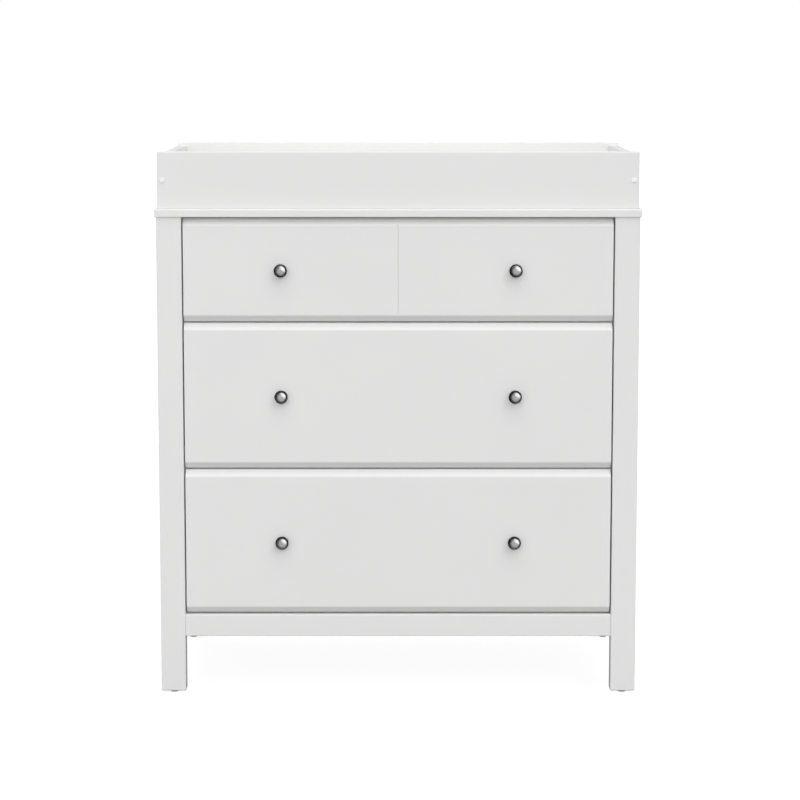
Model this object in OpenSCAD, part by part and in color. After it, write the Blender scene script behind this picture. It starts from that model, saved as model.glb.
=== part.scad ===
// Changing table: a three-drawer dresser with a changing tray on its top.
// Origin: on the floor, at the middle of the whole object's box. +X right, +Z up, the front faces -Y.
// Inside the modules Y counts from the front face of the front legs towards the back.

/* [Case] */
// Width over the outside of the legs
case_w = 908; // [860:2:960]
// Depth from the front of the front legs to the back of the rear legs
case_d = 462; // [460:1:490]
// Height of the dresser's top surface
top_h = 930; // [925:1:960]
// Thickness of the top panel
top_t = 15; // [12:1:22]
// Overhang of the top panel at each side
top_side_lap = 3; // [2:0.5:12]
// Overhang of the top panel at the front
top_front_lap = 4; // [3:1:15]
// Height of the bottom rails above the floor
rail_z = 111; // [95:1:112]

/* [Legs] */
// Width of a leg, across the front
leg_w = 47; // [42:1:50]
// Depth of a leg, front to back
leg_d = 30; // [28:1:34]
// Radius of a leg's long edges
leg_edge_r = 2; // [1:0.5:4]
// Bevel around the foot of a leg
foot_bevel = 2.5; // [1:0.5:4]
// Height of the glide under a leg
glide_h = 4; // [3:1:8]
// Diameter of the glide
glide_dia = 15; // [12:1:25]

/* [Drawers] */
// Thickness of a drawer front
front_t = 19; // [18:1:22]
// Height of the two deep drawer fronts
deep_front_h = 278; // [270:1:280]
// Gap between neighbouring fronts, and between a front and a leg
front_gap = 2.5; // [2:0.5:5]
// Bevel along the upper and lower edges of a front
front_bevel = 12; // [8:1:14]
// How far the fronts sit behind the front of the legs
front_inset = 1.5; // [0:0.5:3]
// Thickness of the drawer sides and backs
box_t = 12; // [12:1:15]
// Height of the sides of the two deep drawers
deep_side_h = 200; // [150:1:230]
// Height of the sides of the shallow top drawer
shallow_side_h = 120; // [90:1:150]
// Distance that a drawer opens
travel = 300; // [200:1:320]

/* [Knobs] */
// Diameter of a knob
knob_dia = 25; // [20:1:32]
// How far a knob stands out from the front
knob_out = 24; // [20:1:30]
// Distance of each knob from the middle of the front
knob_x = 221; // [150:1:300]

/* [Changing tray] */
// Length of the tray's front and rear boards
tray_w = 903; // [850:1:905]
// Height of the front and rear boards
tray_h = 107; // [90:1:130]
// Height of the side boards
tray_side_h = 101; // [88:1:128]
// Thickness of the tray's boards
tray_t = 19; // [16:1:22]

/* [Hidden] */
$fn = 48;
LOWER = 0;
MIDDLE = 1;
UPPER = 2;

// Case
half_w = case_w / 2;
case_top = top_h - top_t;
leg_in = half_w - leg_w;
side_t = 15;
side_recess = 6;
side_in = half_w - side_recess - side_t;
side_mid = side_in + side_t / 2;
flat_rail_t = 18;
flat_rail_d = 60;
front_rail_h = 42.5;
front_rail_t = 18;
front_rail_inset = 3;
rear_rail_t = 15;
rear_rail_y = case_d - leg_d + 2;
rear_top_rail_h = 70;
rear_bottom_rail_h = 60;
back_t = 3;
back_y = rear_rail_y + 6;
groove_d = 8;
back_low = rail_z + rear_bottom_rail_h - groove_d;
back_high = case_top - rear_top_rail_h + groove_d;
fit = 0.1;

// Drawers: lower, middle, upper
front_w = 2 * (leg_in - front_gap);
low_z = rail_z + front_rail_h + front_gap;
front_z = [low_z, low_z + deep_front_h + front_gap, low_z + 2 * (deep_front_h + front_gap)];
front_h = [deep_front_h, deep_front_h, case_top - front_gap - front_z[UPPER]];
side_h = [deep_side_h, deep_side_h, shallow_side_h];
box_lift = 14;
box_y = front_inset + front_t;
box_l = 398;
groove_z = 12;
bottom_t = 4;
bottom_in = 5;
vee_w = 3.6;
vee_lead = 1;

// Flat rails between the side panels: under the drawers, between them and under the top panel
stretcher_z = rail_z + front_rail_h - flat_rail_t;
lower_divider_z = front_z[MIDDLE] - front_gap / 2 - flat_rail_t / 2;
upper_divider_z = front_z[UPPER] - front_gap / 2 - flat_rail_t / 2;
top_rail_z = case_top - flat_rail_t;
flat_rail_z = [stretcher_z, lower_divider_z, upper_divider_z, top_rail_z];

// Roller slides
slide_gap = 12.7;
slide_t = 1.2;
slide_h = 30;
slide_y = 24;
slide_l = 400;
box_out = leg_in - slide_gap;
roller_r = 12.3;
roller_w = 7;
roller_x = box_out + 2.5;
roller_lift = 13.8;
roller_bore = 2.55;
axle_r = 2.5;
case_roller_y = slide_y + 14;
box_roller_y = box_y + box_l - 14.5;
running_gap = 0.3;
stop_t = 4;
stop_h = 3;
stop_reach = sqrt(pow(roller_r, 2) - pow(roller_lift - slide_t - stop_h, 2));
stop_y = box_roller_y - travel - stop_reach - 0.5 - stop_t;
cleat_h = 36;
cleat_drop = 3;

// Fasteners
screw_r = 1.6;
screw_head_r = 3.5;
screw_head_h = 1;
top_screw_l = 28;
slide_screw_l = 14;
back_screw_l = 35;
strap_screw_l = 17;
bracket_screw_l = 11;
cam_reach = 24;
cam_thread = 11;
cam_bolt_r = 3;
cam_head_l = 4;
cam_r = 7.4;
case_spare = 3.5;
case_head_r = 3.5;
box_spare = 2.5;
box_head_r = 2.6;
side_cam_z = [rail_z + 14, case_top / 2 + 100, case_top - 55];
rear_cam_z = [rail_z + 22, case_top - 30];
top_cam_y = [130, 330];
top_screw_x = [-250, 0, 250];
knob_bore = 2.05;
bolt_r = 3;
bolt_head_r = 5;
bolt_sink = 8.3;
barrel_r = 5;
barrel_l = 15;
barrel_back = 30;
bolt_spare = 10;
strap_w = 25;
strap_h = 105;
strap_t = 2;
strap_x = half_w - 24;
strap_z = case_top - 45;
bracket_z = case_top - 45;
bracket_t = 2;
bracket_w = 40;
bracket_h = 26;
bracket_out = 12.5;
tether_r = 2.5;

// Changing tray
tray_y = case_d - 457;
tray_d = case_d - tray_y;
tray_x = tray_w / 2;
tray_bolt_z = top_h + tray_h / 2;

// The object's box runs from the knobs to the heads of the strap screws
front_most = front_inset - knob_out;
rear_most = case_d + strap_t + screw_head_h;
leg_face_y = -(front_most + rear_most) / 2;

WHITE = [0.94, 0.94, 0.93];
BOX_WHITE = [0.90, 0.90, 0.88];
BOARD = [0.80, 0.72, 0.58];
NICKEL = [0.72, 0.72, 0.72];
ZINC = [0.78, 0.79, 0.80];
COATED = [0.88, 0.88, 0.87];
NYLON = [0.82, 0.82, 0.80];

// ---- Shared shapes ----

function unit(v) = v / norm(v);
function half_angle(p, a, b) = acos(unit(a - p) * unit(b - p)) / 2;
function reach(p, a, b, r) = r / tan(half_angle(p, a, b));
function round_centre(p, a, b, r) = p + unit(unit(a - p) + unit(b - p)) * r / sin(half_angle(p, a, b));
function round_ends(p, a, b, r) = r > 0
    ? [p + unit(a - p) * reach(p, a, b, r), p + unit(b - p) * reach(p, a, b, r)]
    : [p];

// An outline whose corner i is rounded to radii[i]
module eased_outline(points, radii) {
    n = len(points);
    polygon([for (i = [0 : n - 1])
        each round_ends(points[i], points[(i + n - 1) % n], points[(i + 1) % n], radii[i])]);
    for (i = [0 : n - 1]) {
        if (radii[i] > 0) {
            translate(round_centre(points[i], points[(i + n - 1) % n], points[(i + 1) % n], radii[i]))
                circle(r = radii[i]);
        }
    }
}

// A rectangle with corners rounded to [low left, low right, high right, high left]
module eased_rect(w, h, radii) {
    eased_outline([[0, 0], [w, 0], [w, h], [0, h]], radii);
}

// From case coordinates to the object's own frame
module in_frame() {
    translate([0, leg_face_y, 0]) children();
}

module right_and_left() {
    children();
    mirror([1, 0, 0]) children();
}

// A bar along X between -x and x, with its outline in Y and Z
module bar_x(x) {
    translate([-x, 0, 0]) rotate([90, 0, 90]) linear_extrude(height = 2 * x) children();
}

// A bar along Y from y, with its outline in X and Z
module bar_y(y, l) {
    translate([0, y + l, 0]) rotate([90, 0, 0]) linear_extrude(height = l) children();
}

module cross_recess(r, h) {
    for (turn = [0, 90]) {
        rotate([0, 0, turn]) translate([-r, -r / 5, 0]) cube([2 * r, 2 * r / 5, h]);
    }
}

// A wood screw with its head's underside at the origin and its point towards -Z
module wood_screw(l) {
    difference() {
        union() {
            cylinder(r = screw_head_r, h = screw_head_h);
            translate([0, 0, -l]) cylinder(r = screw_r, h = l);
        }
        translate([0, 0, screw_head_h - 0.6]) cross_recess(2, 2);
    }
}

module screw_hole(l) {
    translate([0, 0, -l]) cylinder(r = screw_r + fit, h = l + 0.01);
}

// ---- Cam fittings ----
// The joint face is at x = 0: the bolt's thread goes to +X, the cam nut sits at -X with its slot facing -Z.

module cam_bolt(head_r) {
    rotate([0, 90, 0]) cylinder(r = cam_bolt_r, h = cam_thread);
    rotate([0, -90, 0]) cylinder(r = head_r - 1, h = cam_reach - cam_head_l);
    translate([cam_head_l - cam_reach, 0, 0]) rotate([0, -90, 0]) cylinder(r = head_r, h = cam_head_l);
}

module cam_nut(board, spare, head_r) {
    translate([-cam_reach, 0, -board / 2]) difference() {
        cylinder(r = cam_r, h = board - spare);
        translate([-0.5, 0, board / 2]) rotate([0, 90, 0]) cylinder(r = head_r + 0.3, h = cam_r + 2);
        translate([0, 0, -0.01]) cross_recess(4.5, 1.5);
    }
}

// What a cam fitting takes away from the two boards that it joins
module cam_cut(board, spare, head_r) {
    rotate([0, 90, 0]) cylinder(r = cam_bolt_r + fit, h = cam_thread + fit);
    translate([0.01, 0, 0]) rotate([0, -90, 0]) cylinder(r = head_r + 0.2, h = cam_reach + 0.5);
    translate([-cam_reach, 0, -board / 2 - 0.01]) cylinder(r = cam_r + fit, h = board - spare + fit);
}

// Where the case's cam fittings sit: on the right side, in groups by the board that holds the nut
module at_flat_rail_cams(z) {
    translate([side_in, leg_d + flat_rail_d / 2, z + flat_rail_t / 2]) children();
}

module at_front_rail_cams() {
    translate([leg_in, front_rail_inset + front_rail_t / 2, rail_z + front_rail_h / 2])
        rotate([90, 0, 0]) children();
}

module at_rear_rail_cams(z) {
    translate([leg_in, rear_rail_y + rear_rail_t / 2, z]) rotate([-90, 0, 0]) children();
}

module at_side_panel_cams() {
    for (z = side_cam_z) {
        translate([side_mid, leg_d, z]) rotate([-90, 0, 0]) rotate([0, 90, 0]) children();
        translate([side_mid, case_d - leg_d, z]) mirror([0, 1, 0])
            rotate([-90, 0, 0]) rotate([0, 90, 0]) children();
    }
}

module at_top_panel_cams() {
    for (y = top_cam_y) {
        translate([side_mid, y, case_top]) rotate([180, 0, 0]) rotate([0, 90, 0]) children();
    }
}

module cam_bolts() {
    color(ZINC) in_frame() right_and_left() {
        for (z = flat_rail_z) {
            at_flat_rail_cams(z) cam_bolt(case_head_r);
        }
        for (z = rear_cam_z) {
            at_rear_rail_cams(z) cam_bolt(case_head_r);
        }
        at_front_rail_cams() cam_bolt(case_head_r);
        at_side_panel_cams() cam_bolt(case_head_r);
        at_top_panel_cams() cam_bolt(case_head_r);
    }
}

module cam_nuts() {
    color(ZINC) in_frame() right_and_left() {
        for (z = flat_rail_z) {
            at_flat_rail_cams(z) cam_nut(flat_rail_t, case_spare, case_head_r);
        }
        for (z = rear_cam_z) {
            at_rear_rail_cams(z) cam_nut(rear_rail_t, case_spare, case_head_r);
        }
        at_front_rail_cams() cam_nut(front_rail_t, case_spare, case_head_r);
        at_side_panel_cams() cam_nut(side_t, case_spare, case_head_r);
        at_top_panel_cams() cam_nut(side_t, case_spare, case_head_r);
    }
}

// ---- Legs ----

module leg_blank(y) {
    intersection() {
        translate([leg_in, y, glide_h]) linear_extrude(height = case_top - glide_h)
            eased_rect(leg_w, leg_d, [for (i = [0 : 3]) leg_edge_r]);
        bar_y(y - 1, leg_d + 2) polygon([
            [leg_in + foot_bevel, glide_h], [half_w - foot_bevel, glide_h],
            [half_w, glide_h + foot_bevel], [half_w, case_top],
            [leg_in, case_top], [leg_in, glide_h + foot_bevel]
        ]);
    }
}

module glide_nail_hole(y) {
    translate([leg_in + leg_w / 2, y + leg_d / 2, glide_h - 1]) cylinder(r = 1.3, h = 14);
}

module front_leg() {
    difference() {
        leg_blank(0);
        glide_nail_hole(0);
        at_front_rail_cams() cam_cut(front_rail_t, case_spare, case_head_r);
        at_side_panel_cams() cam_cut(side_t, case_spare, case_head_r);
    }
}

module rear_leg() {
    difference() {
        leg_blank(case_d - leg_d);
        glide_nail_hole(case_d - leg_d);
        translate([leg_in - 1, back_y - fit, back_low - fit])
            cube([groove_d + 1 + fit, back_t + 2 * fit, back_high - back_low + 2 * fit]);
        for (z = rear_cam_z) {
            at_rear_rail_cams(z) cam_cut(rear_rail_t, case_spare, case_head_r);
        }
        at_side_panel_cams() cam_cut(side_t, case_spare, case_head_r);
        at_strap_screws() screw_hole(strap_screw_l - strap_t + 1);
    }
}

module left_front_leg() { color(WHITE) in_frame() mirror([1, 0, 0]) front_leg(); }
module right_front_leg() { color(WHITE) in_frame() front_leg(); }
module left_rear_leg() { color(WHITE) in_frame() mirror([1, 0, 0]) rear_leg(); }
module right_rear_leg() { color(WHITE) in_frame() rear_leg(); }

module leg_glides() {
    color(NYLON) in_frame() right_and_left() {
        for (y = [leg_d / 2, case_d - leg_d / 2]) {
            translate([leg_in + leg_w / 2, y, 0]) {
                cylinder(d = glide_dia, h = glide_h);
                cylinder(r = 1.2, h = glide_h + 12);
            }
        }
    }
}

// ---- Case panels and rails ----

module side_panel() {
    difference() {
        translate([side_in, leg_d, rail_z]) cube([side_t, case_d - 2 * leg_d, case_top - rail_z]);
        for (z = flat_rail_z) {
            at_flat_rail_cams(z) cam_cut(flat_rail_t, case_spare, case_head_r);
        }
        at_side_panel_cams() cam_cut(side_t, case_spare, case_head_r);
        at_top_panel_cams() cam_cut(side_t, case_spare, case_head_r);
    }
}

module left_side_panel() { color(WHITE) in_frame() mirror([1, 0, 0]) side_panel(); }
module right_side_panel() { color(WHITE) in_frame() side_panel(); }

module top_panel() {
    color(WHITE) in_frame() difference() {
        intersection() {
            translate([0, -top_front_lap, case_top]) bar_x(half_w + top_side_lap + 1)
                eased_rect(case_d + top_front_lap, top_t, [1.5, 0, 0, 2.5]);
            translate([-half_w - top_side_lap, 0, case_top])
                bar_y(-top_front_lap - 1, case_d + top_front_lap + 2)
                eased_rect(case_w + 2 * top_side_lap, top_t, [1.5, 1.5, 2.5, 2.5]);
        }
        right_and_left() at_top_panel_cams() cam_cut(side_t, case_spare, case_head_r);
        at_top_screws() screw_hole(top_screw_l);
    }
}

module back_panel() {
    color(BOARD) in_frame() translate([-leg_in - groove_d, back_y, back_low])
        cube([2 * (leg_in + groove_d), back_t, back_high - back_low]);
}

module flat_rail(z) {
    difference() {
        translate([-side_in, leg_d, z]) cube([2 * side_in, flat_rail_d, flat_rail_t]);
        right_and_left() at_flat_rail_cams(z) cam_cut(flat_rail_t, case_spare, case_head_r);
    }
}

module at_top_screws() {
    for (x = top_screw_x) {
        translate([x, leg_d + flat_rail_d / 2, top_rail_z]) rotate([180, 0, 0]) children();
    }
}

module front_stretcher() { color(WHITE) in_frame() flat_rail(stretcher_z); }
module lower_divider_rail() { color(WHITE) in_frame() flat_rail(lower_divider_z); }
module upper_divider_rail() { color(WHITE) in_frame() flat_rail(upper_divider_z); }

module front_top_rail() {
    color(WHITE) in_frame() difference() {
        flat_rail(top_rail_z);
        at_top_screws() screw_hole(top_screw_l);
    }
}

module front_bottom_rail() {
    color(WHITE) in_frame() difference() {
        translate([0, front_rail_inset, rail_z]) bar_x(leg_in)
            eased_rect(front_rail_t, front_rail_h, [1.5, 1, 1, 2.5]);
        right_and_left() at_front_rail_cams() cam_cut(front_rail_t, case_spare, case_head_r);
    }
}

module back_groove() {
    translate([-leg_in - 1, back_y - fit, back_low - fit])
        cube([2 * leg_in + 2, back_t + 2 * fit, back_high - back_low + 2 * fit]);
}

module rear_rail(z, h, cam_z) {
    difference() {
        translate([-leg_in, rear_rail_y, z]) cube([2 * leg_in, rear_rail_t, h]);
        back_groove();
        right_and_left() at_rear_rail_cams(cam_z) cam_cut(rear_rail_t, case_spare, case_head_r);
    }
}

module rear_bottom_rail() {
    color(WHITE) in_frame() rear_rail(rail_z, rear_bottom_rail_h, rear_cam_z[0]);
}

module rear_top_rail() {
    color(WHITE) in_frame() difference() {
        rear_rail(case_top - rear_top_rail_h, rear_top_rail_h, rear_cam_z[1]);
        at_bracket_screws() screw_hole(bracket_screw_l - bracket_t + 1);
    }
}

module slide_cleats() {
    color(BOARD) in_frame() right_and_left() {
        for (i = [LOWER : UPPER]) {
            difference() {
                translate([leg_in, leg_d, slide_z(i) - cleat_drop])
                    cube([side_in - leg_in, case_d - 2 * leg_d, cleat_h]);
                at_slide_screws(i) screw_hole(slide_screw_l);
            }
        }
    }
}

// ---- Roller slides, drawn for the right side of drawer i ----

function slide_z(i) = front_z[i] + box_lift - 2;

module at_slide_screws(i) {
    for (y = [slide_y + 36, slide_y + slide_l / 2, slide_y + slide_l - 24]) {
        translate([leg_in - slide_t, y, slide_z(i) + 22]) rotate([0, -90, 0]) children();
    }
}

module case_slide(i) {
    z = slide_z(i);
    difference() {
        union() {
            translate([leg_in - slide_t, slide_y, z]) cube([slide_t, slide_l, slide_h]);
            translate([roller_x - 0.5, slide_y, z]) cube([leg_in - roller_x + 0.5, slide_l, slide_t]);
            translate([roller_x + 1, slide_y, z + slide_h - slide_t])
                cube([leg_in - roller_x - 1, slide_l, slide_t]);
            // stop that catches the drawer's roller at the end of its travel
            translate([roller_x, stop_y, z]) cube([roller_w, stop_t, slide_t + stop_h]);
            // axle of the case roller
            translate([leg_in - slide_t / 2, case_roller_y, z + roller_lift]) rotate([0, -90, 0]) {
                cylinder(r = 4, h = leg_in - slide_t / 2 - roller_x - roller_w - 0.2);
                cylinder(r = axle_r, h = leg_in - slide_t / 2 - roller_x + 0.8);
                translate([0, 0, leg_in - slide_t / 2 - roller_x + 0.2]) cylinder(r = 4, h = 0.6);
            }
        }
        at_slide_screws(i) translate([0, 0, -slide_t - 1]) cylinder(r = screw_r + fit, h = slide_t + 2);
    }
}

module box_slide(i) {
    z = slide_z(i);
    flange_z = z + roller_lift + roller_r + running_gap;
    difference() {
        union() {
            translate([box_out, box_y + 1.5, z + 2 - slide_t])
                cube([slide_t, box_l - 2, flange_z + slide_t - z - 2 + slide_t]);
            translate([box_out - 9, box_y + 1.5, z + 2 - slide_t]) cube([9 + slide_t, box_l - 2, slide_t]);
            translate([box_out, box_y + 1.5, flange_z]) cube([roller_x + roller_w - box_out, box_l - 2, slide_t]);
            // axle of the drawer roller
            translate([box_out + slide_t / 2, box_roller_y, z + roller_lift]) rotate([0, 90, 0]) {
                cylinder(r = 4, h = roller_x - box_out - slide_t / 2 - 0.2);
                cylinder(r = axle_r, h = roller_x + roller_w - box_out - slide_t / 2 + 0.8);
                translate([0, 0, roller_x + roller_w - box_out - slide_t / 2 + 0.2]) cylinder(r = 4, h = 0.6);
            }
        }
        at_box_slide_screws(i) translate([0, 0, -slide_t - 1]) cylinder(r = screw_r + fit, h = slide_t + 2);
    }
}

module at_box_slide_screws(i) {
    for (y = [box_y + 60, box_y + box_l - 60]) {
        translate([box_out - box_t / 2 + 1, y, slide_z(i) + 2 - slide_t]) rotate([180, 0, 0]) children();
    }
}

module roller(y, i) {
    translate([roller_x, y, slide_z(i) + roller_lift]) rotate([0, 90, 0]) difference() {
        cylinder(r = roller_r, h = roller_w);
        translate([0, 0, -1]) cylinder(r = roller_bore, h = roller_w + 2);
        // recess between hub and tyre on each face
        for (z = [-1, roller_w - 1.2]) {
            translate([0, 0, z]) difference() {
                cylinder(r = roller_r - 2.5, h = 2.2);
                cylinder(r = roller_bore + 2, h = 2.2);
            }
        }
    }
}

module case_rollers(i) {
    color(NYLON) in_frame() right_and_left() roller(case_roller_y, i);
}

module box_rollers(i) {
    color(NYLON) in_frame() right_and_left() roller(box_roller_y, i);
}

module case_slides() {
    for (i = [LOWER : UPPER]) {
        case_slide(i);
    }
}

module left_case_slides() { color(COATED) in_frame() mirror([1, 0, 0]) case_slides(); }
module right_case_slides() { color(COATED) in_frame() case_slides(); }
module lower_case_rollers() { case_rollers(LOWER); }
module middle_case_rollers() { case_rollers(MIDDLE); }
module upper_case_rollers() { case_rollers(UPPER); }
module lower_drawer_rollers() { box_rollers(LOWER); }
module middle_drawer_rollers() { box_rollers(MIDDLE); }
module upper_drawer_rollers() { box_rollers(UPPER); }

// ---- Drawers: i is LOWER, MIDDLE or UPPER ----

function box_z(i) = front_z[i] + box_lift;

module at_front_cams(i) {
    for (z = [box_z(i) + 50, box_z(i) + side_h[i] - 30]) {
        translate([box_out - box_t / 2, box_y, z]) mirror([1, 0, 0])
            rotate([-90, 0, 0]) rotate([0, 90, 0]) children();
    }
}

module at_back_screws(i) {
    for (z = [box_z(i) + 40, box_z(i) + side_h[i] - 25]) {
        translate([box_out, box_y + box_l - box_t / 2, z]) rotate([0, 90, 0]) children();
    }
}

module at_knobs(i) {
    for (x = [-knob_x, knob_x]) {
        translate([x, front_inset, front_z[i] + front_h[i] / 2]) rotate([90, 0, 0]) children();
    }
}

module bottom_slot(i) {
    x = box_out - box_t + bottom_in;
    translate([-x - fit, box_y - bottom_in - fit, box_z(i) + groove_z - fit])
        cube([2 * (x + fit), box_l - box_t + 2 * (bottom_in + fit), bottom_t + 2 * fit]);
}

module drawer_front(i) {
    h = front_h[i];
    b = front_bevel;
    color(WHITE) in_frame() difference() {
        translate([0, front_inset, front_z[i]]) bar_x(front_w / 2)
            eased_outline([[b, 0], [front_t, 0], [front_t, h], [b, h], [0, h - b], [0, b]],
                          [2, 1, 1, 2, 6, 6]);
        bottom_slot(i);
        at_knobs(i) translate([0, 0, -front_t - 1]) cylinder(r = 2.3, h = front_t + 2);
        right_and_left() at_front_cams(i) cam_cut(box_t, box_spare, box_head_r);
        if (i == UPPER) {
            // shallow groove that makes the wide front read as two
            translate([0, front_inset, front_z[i] - 1]) linear_extrude(height = h + 2)
                polygon([[-vee_w / 2 - vee_lead, -vee_lead], [vee_w / 2 + vee_lead, -vee_lead], [0, vee_w / 2]]);
        }
    }
}

module drawer_side(i) {
    difference() {
        translate([box_out - box_t, 0, box_z(i)]) bar_y(box_y, box_l)
            eased_rect(box_t, side_h[i], [0, 0, 2, 2]);
        bottom_slot(i);
        at_front_cams(i) cam_cut(box_t, box_spare, box_head_r);
        at_back_screws(i) screw_hole(back_screw_l);
        at_box_slide_screws(i) screw_hole(slide_screw_l);
    }
}

module drawer_left_side(i) { color(BOX_WHITE) in_frame() mirror([1, 0, 0]) drawer_side(i); }
module drawer_right_side(i) { color(BOX_WHITE) in_frame() drawer_side(i); }

module drawer_back(i) {
    color(BOX_WHITE) in_frame() difference() {
        translate([0, box_y + box_l - box_t, box_z(i)]) bar_x(box_out - box_t)
            eased_rect(box_t, side_h[i], [0, 0, 2, 2]);
        bottom_slot(i);
        right_and_left() at_back_screws(i) screw_hole(back_screw_l);
    }
}

module drawer_bottom(i) {
    x = box_out - box_t + bottom_in;
    color(BOX_WHITE) in_frame() translate([-x, box_y - bottom_in, box_z(i) + groove_z])
        cube([2 * x, box_l - box_t + 2 * bottom_in, bottom_t]);
}

module knob() {
    foot_r = 7;
    neck_r = 5;
    head_z = 5.5;
    difference() {
        rotate_extrude() {
            square([foot_r, 2]);
            square([neck_r, head_z + 1]);
            intersection() {
                translate([0, knob_out - knob_dia / 2]) circle(d = knob_dia);
                translate([0, head_z]) square([knob_dia, knob_out]);
            }
        }
        translate([0, 0, -1]) cylinder(r = knob_bore, h = 12);
    }
}

module drawer_knobs(i) { color(NICKEL) in_frame() at_knobs(i) knob(); }
module drawer_slides(i) { color(COATED) in_frame() right_and_left() box_slide(i); }

module knob_screw() {
    difference() {
        union() {
            translate([0, 0, -front_t - 2.5]) cylinder(r = 4, h = 2.5);
            translate([0, 0, -front_t - 0.01]) cylinder(r = 2, h = front_t + 10);
        }
        translate([0, 0, -front_t - 2.51]) cross_recess(2.4, 1.2);
    }
}

module drawer_fasteners(i) {
    color(ZINC) in_frame() {
        at_knobs(i) knob_screw();
        right_and_left() {
            at_front_cams(i) cam_bolt(box_head_r);
            at_front_cams(i) cam_nut(box_t, box_spare, box_head_r);
            at_back_screws(i) wood_screw(back_screw_l);
            at_box_slide_screws(i) wood_screw(slide_screw_l);
        }
    }
}

module lower_drawer_front() { drawer_front(LOWER); }
module lower_drawer_left_side() { drawer_left_side(LOWER); }
module lower_drawer_right_side() { drawer_right_side(LOWER); }
module lower_drawer_back() { drawer_back(LOWER); }
module lower_drawer_bottom() { drawer_bottom(LOWER); }
module lower_drawer_knobs() { drawer_knobs(LOWER); }
module lower_drawer_slides() { drawer_slides(LOWER); }
module lower_drawer_fasteners() { drawer_fasteners(LOWER); }
module middle_drawer_front() { drawer_front(MIDDLE); }
module middle_drawer_left_side() { drawer_left_side(MIDDLE); }
module middle_drawer_right_side() { drawer_right_side(MIDDLE); }
module middle_drawer_back() { drawer_back(MIDDLE); }
module middle_drawer_bottom() { drawer_bottom(MIDDLE); }
module middle_drawer_knobs() { drawer_knobs(MIDDLE); }
module middle_drawer_slides() { drawer_slides(MIDDLE); }
module middle_drawer_fasteners() { drawer_fasteners(MIDDLE); }
module upper_drawer_front() { drawer_front(UPPER); }
module upper_drawer_left_side() { drawer_left_side(UPPER); }
module upper_drawer_right_side() { drawer_right_side(UPPER); }
module upper_drawer_back() { drawer_back(UPPER); }
module upper_drawer_bottom() { drawer_bottom(UPPER); }
module upper_drawer_knobs() { drawer_knobs(UPPER); }
module upper_drawer_slides() { drawer_slides(UPPER); }
module upper_drawer_fasteners() { drawer_fasteners(UPPER); }

// ---- Changing tray ----

// Right end of the front board; the rear end is its mirror image in the tray's middle
module at_tray_bolts() {
    for (rear = [0, 1]) {
        translate([0, rear * (tray_y + case_d), 0]) mirror([0, rear, 0])
            translate([tray_x - tray_t / 2, tray_y, tray_bolt_z]) rotate([90, 0, 0]) children();
    }
}

module tray_bolt_cut() {
    translate([0, 0, -bolt_sink]) cylinder(r = bolt_head_r + 0.3, h = bolt_sink + 1);
    translate([0, 0, -tray_t - barrel_back - bolt_spare])
        cylinder(r = bolt_r + 0.2, h = tray_t + barrel_back + bolt_spare);
}

module tray_bolt() {
    translate([0, 0, -bolt_sink]) difference() {
        cylinder(r = bolt_head_r, h = 5);
        translate([0, 0, 2]) cylinder(r = 2.3, h = 4, $fn = 6);
    }
    translate([0, 0, -tray_t - barrel_back - 8]) cylinder(r = bolt_r, h = tray_t + barrel_back + 8 - bolt_sink);
}

// The barrel nut lies across the bolt, in a hole from the board's inner face
module at_barrel() {
    translate([-tray_t / 2, 0, -tray_t - barrel_back]) rotate([0, 90, 0]) children();
}

module barrel_nut() {
    difference() {
        at_barrel() difference() {
            cylinder(r = barrel_r, h = barrel_l);
            translate([-4, -0.6, -0.01]) cube([8, 1.2, 1.2]);
        }
        translate([0, 0, -tray_t - barrel_back - bolt_spare]) cylinder(r = bolt_r + fit, h = 2 * bolt_spare);
    }
}

module bolt_cap() {
    cap_r = 5.6;
    cap_h = 1.6;
    dome_r = (cap_r * cap_r + cap_h * cap_h) / (2 * cap_h);
    translate([0, 0, -3]) cylinder(r = bolt_head_r + 0.1, h = 3);
    rotate_extrude() intersection() {
        translate([0, cap_h - dome_r]) circle(r = dome_r);
        square([cap_r, cap_h]);
    }
}

module tray_long_board(y) {
    translate([0, y, top_h]) bar_x(tray_x) eased_rect(tray_t, tray_h, [1.5, 1.5, 2, 2]);
}

module tray_front_board() {
    color(WHITE) in_frame() difference() {
        tray_long_board(tray_y);
        right_and_left() at_tray_bolts() tray_bolt_cut();
    }
}

module tray_rear_board() {
    color(WHITE) in_frame() difference() {
        tray_long_board(case_d - tray_t);
        right_and_left() {
            at_tray_bolts() tray_bolt_cut();
            at_strap_screws() screw_hole(strap_screw_l - strap_t + 1);
        }
    }
}

module tray_side_board() {
    difference() {
        translate([tray_x - tray_t, 0, top_h]) bar_y(tray_y + tray_t, tray_d - 2 * tray_t)
            eased_rect(tray_t, tray_side_h, [0, 0, 2, 2]);
        at_tray_bolts() {
            tray_bolt_cut();
            at_barrel() translate([0, 0, -1]) cylinder(r = barrel_r + fit, h = barrel_l + 1 + fit);
        }
    }
}

module tray_left_board() { color(WHITE) in_frame() mirror([1, 0, 0]) tray_side_board(); }
module tray_right_board() { color(WHITE) in_frame() tray_side_board(); }
module tray_fasteners() {
    color(ZINC) in_frame() right_and_left() at_tray_bolts() {
        tray_bolt();
        barrel_nut();
    }
}

module tray_bolt_caps() { color(WHITE) in_frame() right_and_left() at_tray_bolts() bolt_cap(); }

// ---- Straps, bracket and screws at the back ----

module at_strap_screws() {
    for (z = [strap_z + 10, strap_z + 26, strap_z + strap_h - 26, strap_z + strap_h - 10]) {
        translate([strap_x, case_d, z]) rotate([-90, 0, 0]) children();
    }
}

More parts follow.
